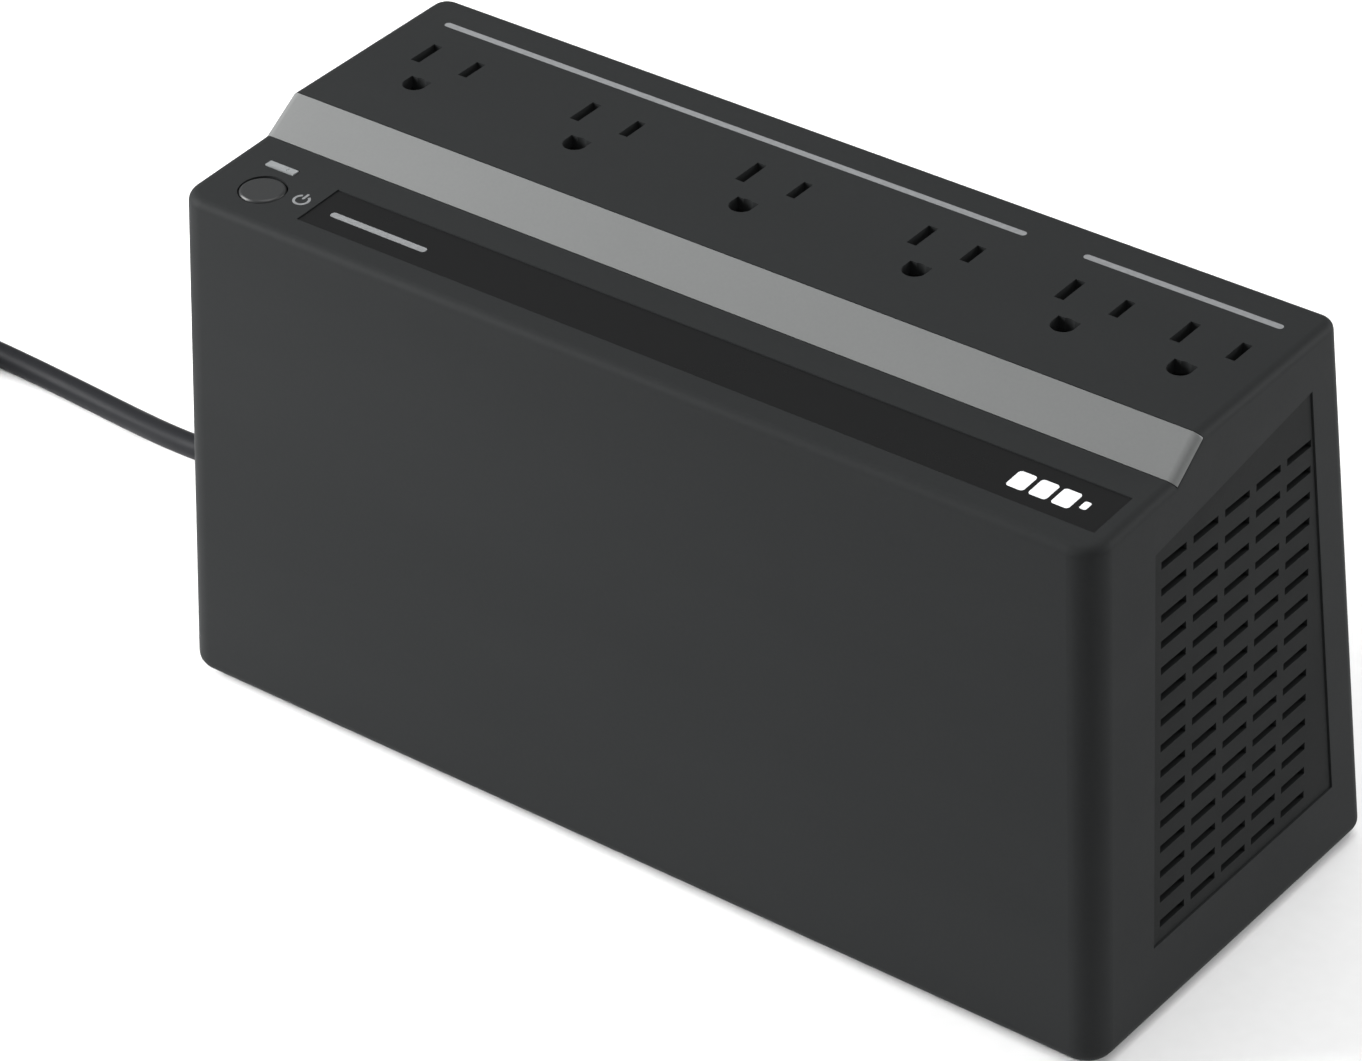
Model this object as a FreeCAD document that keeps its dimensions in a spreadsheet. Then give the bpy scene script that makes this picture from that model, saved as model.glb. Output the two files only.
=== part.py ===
import FreeCAD, Part
import Sketcher
import math
import os
import re

# A small uninterruptible power supply: a drafted plastic case with six outlets along its top, a sloped accent
# strip, a gloss control band on the front ledge, vented ends, and the battery, transformer and board inside.
# X runs along the length, +Y to the rear and +Z up. The origin is on the surface the feet stand on, below the
# middle of the case.

SIZES = {
    # case
    "case_length": 246.5,
    "case_depth": 105.8,
    "rear_flare": 0.3,
    "foot_drop": 1.0,
    "front_height": 126.1,
    "ledge_depth": 28.9,
    "ledge_rise": 1.75,
    "slope_depth": 9.3,
    "slope_rise": 6.6,
    "deck_depth": 52.3,
    "deck_rise": 1.4,
    "end_draft": 0.0472,
    "wall": 2.6,
    "deck_wall": 3.0,
    "ledge_wall": 3.8,
    "corner_round": 6.5,
    "rear_round": 4.0,
    "base_round": 3.6,
    "rim_round": 2.4,
    "fit_gap": 0.15,
    # trim
    "strip_thick": 1.6,
    "band_front": 6.9,
    "band_back": 20.3,
    "band_left": 26.2,
    "band_right": 228.0,
    "band_thick": 1.5,
    "band_sink": 0.25,
    # vents
    "vent_front": 22.0,
    "vent_frame": 12.0,
    "vent_foot": 20.0,
    "vent_head": 115.0,
    "vent_head_rise": 8.5,
    "vent_lip": 2.0,
    "vent_lip_thick": 1.4,
    "vent_sink": 0.4,
    "slot_wide": 9.2,
    "slot_tall": 1.8,
    "slot_step": 11.7,
    "slot_row": 6.2,
    # outlets
    "outlet_first": -103.1,
    "outlet_step": 44.3,
    "outlet_step_fifth": 36.6,
    "outlet_step_sixth": 27.9,
    "blade_apart": 12.7,
    "blade_line": 14.8,
    "ground_ahead": 11.9,
    "neutral_long": 8.2,
    "neutral_thick": 2.4,
    "hot_long": 6.8,
    "hot_thick": 2.3,
    "ground_radius": 2.75,
    "carrier_length": 220.0,
    "carrier_front": -4.0,
    "carrier_depth": 29.0,
    "carrier_foot": 110.6,
    "carrier_height": 18.8,
    "bus_foot": 109.2,
    "bus_thick": 0.8,
    "clip_leaf": 0.6,
    "clip_height": 12.0,
    # power button and light
    "button_across": -102.7,
    "button_back": -41.4,
    "button_radius": 5.5,
    "button_gap": 0.3,
    "light_across": -104.8,
    "light_back": -32.6,
    "light_long": 7.8,
    "light_wide": 2.0,
    "panel_board_foot": 110.0,
    "board_thick": 1.6,
    # base
    "plate_gap": 0.35,
    "plate_foot": 1.6,
    "plate_thick": 3.0,
    "foot_radius": 6.0,
    "foot_across": 100.0,
    "foot_back": 39.5,
    "keyhole_apart": 152.4,
    "keyhole_back": 34.0,
    "keyhole_head": 4.5,
    "keyhole_neck": 2.2,
    "keyhole_slide": 7.5,
    "post_radius": 3.6,
    "post_top": 15.0,
    # battery
    "battery_left": 18.0,
    "battery_front": -40.0,
    "battery_foot": 6.8,
    "battery_length": 90.0,
    "battery_depth": 70.0,
    "battery_height": 101.0,
    # transformer
    "core_middle": -62.0,
    "core_front": -31.0,
    "core_foot": 8.6,
    "core_length": 66.0,
    "core_depth": 34.0,
    "core_height": 55.0,
    # main board
    "board_left": -108.0,
    "board_length": 116.0,
    "board_front": 33.0,
    "board_foot": 12.0,
    "board_height": 92.0,
    # circuit breaker
    "breaker_back": -39.7,
    "breaker_up": 45.0,
    "breaker_radius": 4.8,
    "breaker_bezel": 6.4,
    "breaker_cap": 3.0,
    # mains cord
    "cord_radius": 3.0,
    "cord_back": 6.8,
    "cord_up": 10.45,
    "bush_neck": 4.8,
    "coil_across": -290.0,
    "coil_back": -26.5,
    "coil_inner": 27.0,
    "coil_outer": 48.0,
    "coil_foot": 1.0,
    "coil_height": 13.0,
}

doc = FreeCAD.newDocument("backup_power_unit")
sheet = doc.addObject("Spreadsheet::Sheet", "Sizes")
for row, (alias, size) in enumerate(SIZES.items(), start=1):
    sheet.set(f"A{row}", alias.replace("_", " "))
    sheet.set(f"B{row}", str(size))
    sheet.setAlias(f"B{row}", alias)
doc.recompute()

Vector = FreeCAD.Vector
FRONT = "-case_depth / 2"
TOP = "front_height + ledge_rise + slope_rise + deck_rise"
NODES = []


def linked(formula):
    """A formula in the sheet's names, as an expression that an object outside the sheet can hold."""
    return re.sub(r"\b([a-z]\w*)\b(?!\()", r"Sizes.\1", str(formula))


def number(formula):
    """What a formula in the sheet's names comes to."""
    return float(sheet.evalExpression(linked(formula)))


def bind(thing, **formulas):
    for name, formula in formulas.items():
        thing.setExpression(name, linked(formula))
    return thing


def place(thing, x, y, z):
    for axis, formula in zip("xyz", (x, y, z)):
        thing.setExpression("Placement.Base." + axis, linked(formula))
    return thing


def block(name, low, size):
    """A box from its lowest corner and its size along X, Y and Z."""
    box = doc.addObject("Part::Box", name)
    bind(box, Length=size[0], Width=size[1], Height=size[2])
    return place(box, *low)


AXES = {
    "+X": FreeCAD.Rotation(Vector(0, 1, 0), 90),
    "-X": FreeCAD.Rotation(Vector(0, 1, 0), -90),
    "-Y": FreeCAD.Rotation(Vector(1, 0, 0), 90),
    "+Z": FreeCAD.Rotation(),
}


def rod(name, start, axis, radius, length):
    """A cylinder from the middle of its first face, along an axis."""
    cylinder = doc.addObject("Part::Cylinder", name)
    cylinder.Placement = FreeCAD.Placement(Vector(), AXES[axis])
    bind(cylinder, Radius=radius, Height=length)
    return place(cylinder, *start)


def taper(name, start, axis, radius, end_radius, length):
    cone = doc.addObject("Part::Cone", name)
    cone.Placement = FreeCAD.Placement(Vector(), AXES[axis])
    bind(cone, Radius1=radius, Radius2=end_radius, Height=length)
    return place(cone, *start)


def outline(sketch, corners):
    """A closed outline of straight sides in a sketch, each corner bound to a pair of formulas."""
    points = [Vector(number(x), number(y), 0) for x, y in corners]
    count = len(points)
    first = sketch.GeometryCount
    for i in range(count):
        sketch.addGeometry(Part.LineSegment(points[i], points[(i + 1) % count]), False)
    for i in range(count):
        sketch.addConstraint(Sketcher.Constraint("Coincident", first + i, 2, first + (i + 1) % count, 1))
    for i, (x, y) in enumerate(corners):
        for kind, formula, here in (("DistanceX", x, points[i].x), ("DistanceY", y, points[i].y)):
            index = sketch.addConstraint(Sketcher.Constraint(kind, -1, 1, first + i, 1, here))
            sketch.setExpression(f"Constraints[{index}]", linked(formula))
    return sketch


PLANES = {
    "XY": FreeCAD.Rotation(),
    "XZ": FreeCAD.Rotation(Vector(1, 0, 0), 90),
    "YZ": FreeCAD.Rotation(Vector(1, 1, 1), 120),
}
NORMALS = {"XY": "z", "XZ": "y", "YZ": "x"}


def prism(name, plane, corners, thickness, middle="0"):
    """An outline in a main plane, extruded equally to both sides of the plane's place along its normal."""
    sketch = doc.addObject("Sketcher::SketchObject", name + "_outline")
    sketch.Placement = FreeCAD.Placement(Vector(), PLANES[plane])
    sketch.setExpression("Placement.Base." + NORMALS[plane], linked(middle))
    outline(sketch, corners)
    solid = doc.addObject("Part::Extrusion", name)
    solid.Base = sketch
    solid.DirMode = "Normal"
    solid.Symmetric = True
    solid.Solid = True
    return bind(solid, LengthFwd=thickness)


def join(name, parts):
    fuse = doc.addObject("Part::MultiFuse", name)
    fuse.Shapes = parts
    return fuse


def cut(name, base, tools):
    result = doc.addObject("Part::Cut", name)
    result.Base = base
    result.Tool = tools[0] if len(tools) == 1 else join(name + "_tools", tools)
    return result


def common(name, first, second):
    result = doc.addObject("Part::Common", name)
    result.Base = first
    result.Tool = second
    return result


def group(name, parts):
    """Several loose pieces of one kind, kept as separate solids in one node."""
    compound = doc.addObject("Part::Compound", name)
    compound.Links = parts
    return compound


def rounded(name, base, radius, wanted):
    """The base with the edges that the test picks rounded."""
    doc.recompute()
    fillet = doc.addObject("Part::Fillet", name)
    fillet.Base = base
    size = number(radius)
    fillet.Edges = [(i, size, size) for i, edge in enumerate(base.Shape.Edges, 1) if wanted(edge)]
    return fillet


def node(thing, label):
    """Names a finished sub-part; the label is its file's name."""
    thing.Label = label
    NODES.append(thing)
    return thing


def upright(edge):
    ends = edge.Vertexes[0].Point - edge.Vertexes[-1].Point
    return ends.Length > 5 and abs(ends.z) > 0.9 * ends.Length


def upright_in_front(edge):
    """The corners where the front meets the ends, over both the foot and the head."""
    return upright(edge) and edge.BoundBox.YMax < number(FRONT) + 5


def upright_at_rear(edge):
    return upright(edge) and edge.BoundBox.YMin > 0


def level_at(height, within=0.05):
    """A test for edges that lie at one height."""

    def level(edge):
        box = edge.BoundBox
        return abs(box.ZMin - height) < within and abs(box.ZMax - height) < within

    return level


# The case

def case_envelope(name, inset, ledge_inset, deck_inset, foot="foot_drop"):
    """The case's outer form, or its hollow when the insets are the wall's thicknesses."""
    ledge_back = f"{FRONT} + ledge_depth + {inset}"
    deck_front = f"{FRONT} + ledge_depth + slope_depth + {inset}"
    deck_back = f"{FRONT} + ledge_depth + slope_depth + deck_depth - {inset}"
    profile = [
        (f"{FRONT} + {inset}", foot),
        (f"{FRONT} + {inset}", f"front_height - {ledge_inset}"),
        (ledge_back, f"front_height + ledge_rise - {ledge_inset}"),
        (deck_front, f"front_height + ledge_rise + slope_rise - {deck_inset}"),
        (deck_back, f"{TOP} - {deck_inset}"),
        (f"case_depth / 2 + rear_flare - {inset}", foot),
    ]
    along = prism(name + "_profile", "YZ", profile, "case_length")
    half_foot = f"(case_length / 2 - {inset})"
    half_head = f"(case_length / 2 - {inset} - end_draft * ({TOP} + 4 - foot_drop))"
    ends = [
        (f"-{half_foot}", foot),
        (f"-{half_head}", f"{TOP} + 4"),
        (half_head, f"{TOP} + 4"),
        (half_foot, foot),
    ]
    across = prism(name + "_ends", "XZ", ends, "case_depth + 10")
    sharp = common(name + "_sharp", along, across)
    front_round = rounded(name + "_front_corners", sharp, f"corner_round - {inset}", upright_in_front)
    return rounded(name + "_corners", front_round, f"rear_round - {inset}", upright_at_rear)


def on_rim(edge):
    """The outline of the case's upper faces, apart from the two bends of the slope between them."""
    box = edge.BoundBox
    low = number("front_height") - 0.5
    runs_along = box.XLength > 150
    inner_bend = runs_along and number(f"{FRONT} + ledge_depth") - 1 < box.YMin < number(
        f"{FRONT} + ledge_depth + slope_depth") + 1
    return box.ZMin > low and not inner_bend


case_corners = case_envelope("case", "0", "0", "0")
case_foot = rounded("case_foot", case_corners, "base_round", level_at(number("foot_drop")))
case_outer = rounded("case_outer", case_foot, "rim_round", on_rim)
case_hollow = case_envelope("hollow", "wall", "ledge_wall", "deck_wall", "foot_drop - 2")


def ledge_z(back):
    """The ledge's height at a distance behind the case's front."""
    return f"(front_height + ledge_rise * ({back}) / ledge_depth)"


def deck_z(y):
    """The deck's height at a place in Y."""
    behind_slope = f"({y} - ({FRONT}) - ledge_depth - slope_depth)"
    return f"(front_height + ledge_rise + slope_rise + deck_rise * {behind_slope} / deck_depth)"


# The accent strip covers the slope and takes the case's own rounding at its ends.
def slope_slab(name, thick, spare):
    foot = (f"{FRONT} + ledge_depth - {spare}", f"front_height + ledge_rise - ({spare}) * 0.7")
    head_up = f"front_height + ledge_rise + slope_rise + ({spare}) * 0.7"
    head = (f"{FRONT} + ledge_depth + slope_depth + {spare}", head_up)
    lift = "2"
    corners = [
        (f"{foot[0]} + ({thick}) * 0.6", f"{foot[1]} - ({thick}) * 0.8"),
        (f"{foot[0]} - {lift} * 0.6", f"{foot[1]} + {lift} * 0.8"),
        (f"{head[0]} - {lift} * 0.6", f"{head[1]} + {lift} * 0.8"),
        (f"{head[0]} + ({thick}) * 0.6", f"{head[1]} - ({thick}) * 0.8"),
    ]
    return prism(name, "YZ", corners, "case_length + 10")


strip_slab = slope_slab("strip_slab", "strip_thick", "0")
node(common("accent_strip", case_outer, strip_slab), "accent_strip")


def band_block(name, spare, sink, thick):
    front, back = f"(band_front - {spare})", f"(band_back + {spare})"
    corners = [
        (f"{FRONT} + {front}", f"{ledge_z(front)} - ({sink}) - ({thick})"),
        (f"{FRONT} + {front}", f"{ledge_z(front)} - ({sink})"),
        (f"{FRONT} + {back}", f"{ledge_z(back)} - ({sink})"),
        (f"{FRONT} + {back}", f"{ledge_z(back)} - ({sink}) - ({thick})"),
    ]
    length = f"band_right - band_left + 2 * {spare}"
    return prism(name, "YZ", corners, length, "(band_left + band_right) / 2 - 115.2")


control_band = node(band_block("control_band", "0", "band_sink", "band_thick"), "control_band")
band_recess = band_block("band_recess", "fit_gap", "-2", "band_thick + band_sink + fit_gap + 2")


# The outlets: the neutral blade's slot on the left, the hot blade's on the right, the ground pin in front.
OUTLETS = ["outlet_first"]
for step in ("outlet_step", "outlet_step", "outlet_step", "outlet_step_fifth", "outlet_step_sixth"):
    OUTLETS.append(f"{OUTLETS[-1]} + {step}")
GROUND_LINE = "(blade_line - ground_ahead)"


def outlet_tools(name, foot, tall, spare="0"):
    """The blade slots and D-shaped ground holes of all the outlets."""
    tools = []
    for i, neutral in enumerate(OUTLETS, 1):
        ground = f"{neutral} + blade_apart / 2"
        for blade, across, long, thick in (
            ("neutral", neutral, "neutral_long", "neutral_thick"),
            ("hot", f"{neutral} + blade_apart", "hot_long", "hot_thick"),
        ):
            low = (f"{across} - {thick} / 2 - {spare}", f"blade_line - {long} / 2 - {spare}", foot)
            slot = (f"{thick} + 2 * {spare}", f"{long} + 2 * {spare}", tall)
            tools.append(block(f"{name}_{blade}_{i}", low, slot))
        pin_radius = f"(ground_radius + {spare})"
        tools.append(rod(f"{name}_pin_{i}", (ground, GROUND_LINE, foot), "+Z", pin_radius, tall))
        low = (f"{ground} - {pin_radius}", GROUND_LINE, foot)
        tools.append(block(f"{name}_flat_{i}", low, (f"2 * {pin_radius}", "ground_radius * 0.9", tall)))
    return tools


# Each vent panel lies in its end wall, tilted by the wall's draft.
TILT = math.degrees(math.atan(SIZES["end_draft"]))


def vent_corners(spare):
    """The panel's outline in the end wall's plane; its rear side runs along the leaning rear wall."""
    lean = f"(case_depth - ledge_depth - slope_depth - deck_depth) / ({TOP})"
    head_back = "vent_head + vent_head_rise"
    rear_side = f"case_depth / 2 - vent_frame + {spare}"
    return [
        (f"{FRONT} + vent_front - {spare}", f"vent_foot - {spare} - foot_drop"),
        (f"{FRONT} + vent_front - {spare}", f"vent_head + {spare} - foot_drop"),
        (f"{rear_side} - {lean} * ({head_back})", f"{head_back} + {spare} - foot_drop"),
        (f"{rear_side} - {lean} * vent_foot", f"vent_foot - {spare} - foot_drop"),
    ]


def origin_plane(body, role):
    return next(feature for feature in body.Origin.OriginFeatures if feature.Role == role)


def pad_on_end(body, name, corners, thickness, depth, side):
    """A plate in the end wall's own plane, from a depth below its outer face and further in."""
    sketch = body.newObject("Sketcher::SketchObject", name + "_outline")
    sketch.AttachmentSupport = [(origin_plane(body, "YZ_Plane"), "")]
    sketch.MapMode = "FlatFace"
    sketch.setExpression("AttachmentOffset.Base.z", linked(f"{-side} * ({depth})"))
    outline(sketch, corners)
    pad = body.newObject("PartDesign::Pad", name)
    pad.Profile = sketch
    pad.Reversed = side > 0
    return bind(pad, Length=thickness)


def tilt_into_end(body, side):
    body.Placement = FreeCAD.Placement(Vector(), FreeCAD.Rotation(Vector(0, 1, 0), -side * TILT))
    return place(body, f"{side} * case_length / 2", "0", "foot_drop")


def vent_window(name, side):
    """The window that a vent panel fills."""
    body = doc.addObject("PartDesign::Body", name)
    pad_on_end(body, name + "_opening", vent_corners("fit_gap"), "wall + 6", "-3", side)
    return tilt_into_end(body, side)


def vent_panel(label, side):
    """A vented panel with a lip behind the wall, and rows of slots."""
    body = doc.addObject("PartDesign::Body", label)
    face_thick = "wall + fit_gap + vent_lip_thick - vent_sink"
    pad_on_end(body, label + "_face", vent_corners("0"), face_thick, "vent_sink", side)
    pad_on_end(body, label + "_lip", vent_corners("vent_lip"), "vent_lip_thick", "wall + fit_gap", side)
    row = body.newObject("Sketcher::SketchObject", label + "_slots")
    row.AttachmentSupport = [(origin_plane(body, "YZ_Plane"), "")]
    row.MapMode = "FlatFace"
    for i in range(5):
        near = f"{FRONT} + vent_front + 2.6 + {i} * slot_step"
        low = "vent_foot + 3.4 - foot_drop"
        outline(row, [(near, low), (near, f"{low} + slot_tall"),
                      (f"{near} + slot_wide", f"{low} + slot_tall"), (f"{near} + slot_wide", low)])
    slots = body.newObject("PartDesign::Pocket", label + "_row")
    slots.Profile = row
    slots.Type = "ThroughAll"
    slots.Midplane = True
    doc.recompute()
    pattern = body.newObject("PartDesign::LinearPattern", label + "_rows")
    pattern.Originals = [slots]
    pattern.Direction = (row, ["V_Axis"])
    pattern.Occurrences = 15
    bind(pattern, Length="slot_row * 14")
    body.Tip = pattern
    tilt_into_end(body, side)
    return node(body, label)


right_vent_panel = vent_panel("right_vent_panel", 1)
left_vent_panel = vent_panel("left_vent_panel", -1)

# Posts inside the case take the screws of the base plate, the outlet carrier and the control board.
SCREW_LINE = "(case_length / 2 - 6.7)"
BASE_SCREWS = [(SCREW_LINE, "11.1 - case_depth / 2"), (f"-{SCREW_LINE}", "11.1 - case_depth / 2"),
               (SCREW_LINE, "case_depth / 2 - 8"), (f"-{SCREW_LINE}", "case_depth / 2 - 8"),
               ("0", "6 - case_depth / 2"), ("0", "case_depth / 2 - 7")]
CARRIER_SCREWS = [(x, "blade_line + 6.6") for x in ("-78", "-34", "55", "89.5")]
PANEL_SCREWS = [("-86.5", "button_back - 1.6"), ("-86.5", "button_back + 8.4")]
posts = []
for i, (x, y) in enumerate(BASE_SCREWS, 1):
    posts.append(rod(f"base_post_{i}", (x, y, "plate_foot + plate_thick"), "+Z", "post_radius",
                     "post_top - plate_foot - plate_thick"))
for i, (x, y) in enumerate(CARRIER_SCREWS, 1):
    foot = "carrier_foot + carrier_height"
    posts.append(rod(f"carrier_post_{i}", (x, y, foot), "+Z", "3", f"{deck_z(y)} - 1.5 - ({foot})"))
for i, (x, y) in enumerate(PANEL_SCREWS, 1):
    foot = "panel_board_foot + board_thick"
    posts.append(rod(f"panel_post_{i}", (x, y, foot), "+Z", "2.4", f"front_height - 2 - ({foot})"))

def end_at(z):
    """How far the end wall's outer face is from the middle, at a height."""
    return f"(case_length / 2 - end_draft * ({z} - foot_drop))"


# The cord's bushing and the breaker's neck pass through the left end.
openings = outlet_tools("slot", f"{TOP} - 12", "20")
openings += [vent_window("right_window", 1), vent_window("left_window", -1)]
openings += [
    slope_slab("strip_seat", "strip_thick + fit_gap", "fit_gap"),
    band_recess,
    rod("button_hole", ("button_across", "button_back", "front_height - 12"), "+Z", "button_radius", "20"),
    block("light_hole", ("light_across - light_long / 2 - fit_gap", "light_back - light_wide / 2 - fit_gap",
                         "front_height - 12"), ("light_long + 2 * fit_gap", "light_wide + 2 * fit_gap", "20")),
    rod("cord_hole", ("-case_length / 2 - 3", "cord_back", "cord_up"), "+X", "bush_neck + fit_gap", "12"),
    rod("breaker_hole", ("-case_length / 2 - 3", "breaker_back", "breaker_up"), "+X",
        "breaker_radius + fit_gap", "14"),
]
pilots = []
for i, (x, y) in enumerate(BASE_SCREWS, 1):
    pilots.append(rod(f"base_pilot_{i}", (x, y, "plate_foot"), "+Z", "1.5 + 0.02", "11.5"))
for i, (x, y) in enumerate(CARRIER_SCREWS, 1):
    pilots.append(rod(f"carrier_pilot_{i}", (x, y, "carrier_foot"), "+Z", "1.25 + 0.02",
                      "carrier_height + 1.6"))
for i, (x, y) in enumerate(PANEL_SCREWS, 1):
    pilots.append(rod(f"panel_pilot_{i}", (x, y, "panel_board_foot"), "+Z", "1 + 0.02", "board_thick + 6.5"))

case_walls = cut("case_walls", case_outer, [case_hollow])
case_posted = join("case_posted", [case_walls] + posts)
node(cut("case_housing", case_posted, openings + pilots), "case_housing")

# The power button, its switch and the light beside it

BUTTON = ("button_across", "button_back")
button_cap = rod("button_cap", (*BUTTON, "front_height - 4.4"), "+Z", "button_radius - button_gap", "5.3")
button_top = rounded("button_top", button_cap, "0.8", level_at(number("front_height + 0.9")))
button_flange = rod("button_flange", (*BUTTON, "front_height - 5.2"), "+Z", "button_radius + 1", "1")
button_stem = rod("button_stem", (*BUTTON, "panel_board_foot + board_thick + 5.5"), "+Z", "2.2",
                  "front_height - 5 - (panel_board_foot + board_thick + 5.5)")
node(join("power_button", [button_top, button_flange, button_stem]), "power_button")
SWITCH_FOOT = "panel_board_foot + board_thick"
node(rod("switch_plunger", (*BUTTON, f"{SWITCH_FOOT} + 3.6"), "+Z", "1.7", "1.9"), "switch_plunger")
switch_case = block("switch_case", ("button_across - 3.1", "button_back - 3.1", SWITCH_FOOT),
                    ("6.2", "6.2", "3.8"))
switch_bore = rod("switch_bore", (*BUTTON, f"{SWITCH_FOOT} + 2.2"), "+Z", "2", "4")
node(cut("power_switch", switch_case, [switch_bore]), "power_switch")
panel_board_blank = block("panel_board_blank", ("-111", "button_back - 5.4", "panel_board_foot"),
                          ("29", "17.6", "board_thick"))
panel_board_holes = [rod(f"panel_board_hole_{i}", (x, y, "panel_board_foot - 1"), "+Z", "1.1", "4")
                     for i, (x, y) in enumerate(PANEL_SCREWS, 1)]
node(cut("control_board", panel_board_blank, panel_board_holes), "control_board")
node(block("status_led", ("light_across - 1.6", "light_back - 0.8", SWITCH_FOOT), ("3.2", "1.6", "1")),
     "status_led")
light_foot = f"{SWITCH_FOOT} + 1.4"
LIGHT_LEFT, LIGHT_FRONT = "light_across - light_long / 2", "light_back - light_wide / 2"
light_column = block("light_column", (LIGHT_LEFT, LIGHT_FRONT, light_foot),
                     ("light_long", "light_wide", f"front_height + 1.4 - ({light_foot})"))
light_collar = block("light_collar", (f"{LIGHT_LEFT} - 1.2", f"{LIGHT_FRONT} - 0.8", "front_height - 6.4"),
                     ("light_long + 2.4", "light_wide + 1.6", "2.2"))
node(join("light_pipe", [light_column, light_collar]), "light_pipe")


def screws(label, places, head_foot, head_radius, head_height, shank_radius, shank_length):
    """Pan-head screws driven upwards, with a cross cut into each head."""
    pieces = []
    for i, (x, y) in enumerate(places, 1):
        head = rod(f"{label}_head_{i}", (x, y, head_foot), "+Z", head_radius, head_height)
        shank_foot = (x, y, f"{head_foot} + {head_height}")
        shank = rod(f"{label}_shank_{i}", shank_foot, "+Z", shank_radius, shank_length)
        long, thin = f"{head_radius} * 1.1", "0.5"
        cross = []
        for arm, wide, deep in (("a", long, thin), ("b", thin, long)):
            low = (f"{x} - {wide} / 2", f"{y} - {deep} / 2", f"{head_foot} - 1")
            cross.append(block(f"{label}_cross_{i}{arm}", low, (wide, deep, "1.7")))
        pieces.append(cut(f"{label}_{i}", join(f"{label}_blank_{i}", [head, shank]), cross))
    return node(group(label, pieces), label)


screws("panel_screws", PANEL_SCREWS, "panel_board_foot - 1.2", "1.9", "1.2", "1", "board_thick + 5")

# The outlet carrier and the contacts in it

carrier_blank = block("carrier_blank", ("-carrier_length / 2", "carrier_front", "carrier_foot"),
                      ("carrier_length", "carrier_depth", "carrier_height"))
carrier_tools = outlet_tools("carrier_slot", "carrier_foot + 14", "6")
for i, neutral in enumerate(OUTLETS, 1):
    for blade, across in (("neutral", neutral), ("hot", f"{neutral} + blade_apart")):
        low = (f"{across} - 2", "blade_line - 5", "carrier_foot - 1")
        carrier_tools.append(block(f"carrier_{blade}_well_{i}", low, ("4", "10", "15.5")))
    low = (f"{neutral} + blade_apart / 2 - 3.4", f"{GROUND_LINE} - 3.4", "carrier_foot - 1")
    carrier_tools.append(block(f"carrier_ground_well_{i}", low, ("6.8", "6.8", "15.5")))
for i, (x, y) in enumerate(CARRIER_SCREWS, 1):
    below = (x, y, "carrier_foot - 1")
    carrier_tools.append(rod(f"carrier_hole_{i}", below, "+Z", "1.6", "carrier_height + 2"))
    carrier_tools.append(rod(f"carrier_bore_{i}", below, "+Z", "3.1", "11"))
node(cut("outlet_carrier", carrier_blank, carrier_tools), "outlet_carrier")
screws("carrier_screws", CARRIER_SCREWS, "carrier_foot + 8.2", "2.7", "1.8", "1.25", "carrier_height - 8.6")


def bus(label, outlets, across, strip_front, strip_depth, leaf_front, leaf_depth, gap):
    """A brass strip under the carrier with a pair of spring leaves at each outlet."""
    first, last = outlets[0], outlets[-1]
    strip = block(label + "_strip", (f"{first} + {across} - 4", strip_front, "bus_foot"),
                  (f"({last}) - ({first}) + 8", strip_depth, "bus_thick"))
    pieces = [strip]
    for i, neutral in enumerate(outlets, 1):
        for side in (-1, 1):
            leaf_left = f"{neutral} + {across} + {side} * {gap} / 2 - clip_leaf * {(1 - side) // 2}"
            pieces.append(block(f"{label}_leaf_{i}_{side + 2}", (leaf_left, leaf_front, "bus_foot"),
                                ("clip_leaf", leaf_depth, "clip_height")))
    return node(join(label, pieces), label)


bus("neutral_bus", OUTLETS, "0", "blade_line + 1.2", "4", "blade_line + 0.8", "3.8", "1.9")
bus("hot_bus_backup", OUTLETS[:4], "blade_apart", "blade_line - 4.8", "4", "blade_line - 4.4", "3.8", "1.9")
bus("hot_bus_surge", OUTLETS[4:], "blade_apart", "blade_line - 4.8", "4", "blade_line - 4.4", "3.8", "1.9")
bus("ground_bus", OUTLETS, "blade_apart / 2", f"{GROUND_LINE} - 2", "4", f"{GROUND_LINE} - 2", "4", "5.2")
node(block("bus_insulator", ("-carrier_length / 2 + 2", "carrier_front", "bus_foot - 0.8"),
           ("carrier_length - 4", "carrier_depth", "0.5")), "bus_insulator")

# The base plate with its keyholes, screws and feet

plate_half_x = "(case_length / 2 - wall - plate_gap)"
plate_half_y = "(case_depth / 2 - wall - plate_gap)"
PLATE_TOP = "(plate_foot + plate_thick)"
plate_blank = block("plate_blank", (f"-{plate_half_x}", f"-{plate_half_y}", "plate_foot"),
                    (f"2 * {plate_half_x}", f"2 * {plate_half_y} - 2 * plate_gap", "plate_thick"))
plate_rounded = rounded("plate_rounded", plate_blank, "corner_round - wall",
                        lambda edge: edge.BoundBox.ZLength > 2)
CRADLE = {
    "battery_rib_left": (("battery_left - 2.2", "battery_front", PLATE_TOP), ("1.8", "battery_depth", "16")),
    "battery_rib_right": (("battery_left + battery_length + 0.4", "battery_front", PLATE_TOP),
                          ("1.8", "battery_depth - 6", "10")),
    "battery_rib_front": (("battery_left + 6", "battery_front - 2.2", PLATE_TOP),
                          ("battery_length - 12", "1.8", "16")),
    "board_rib_left": (("board_left + 6", "board_front - 2.4", PLATE_TOP), ("20", "2", "11")),
    "board_rib_right": (("board_left + 84", "board_front - 2.4", PLATE_TOP), ("20", "2", "11")),
}
ribs = [block(name, low, size) for name, (low, size) in CRADLE.items()]
FRAME_SCREWS = [(f"core_middle {way} 39.5", "core_front + core_depth / 2") for way in "-+"]
for i, (x, y) in enumerate(FRAME_SCREWS, 1):
    ribs.append(rod(f"frame_post_{i}", (x, y, PLATE_TOP), "+Z", "4", f"core_foot - 1.5 - {PLATE_TOP}"))
plate_tools = []
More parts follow.
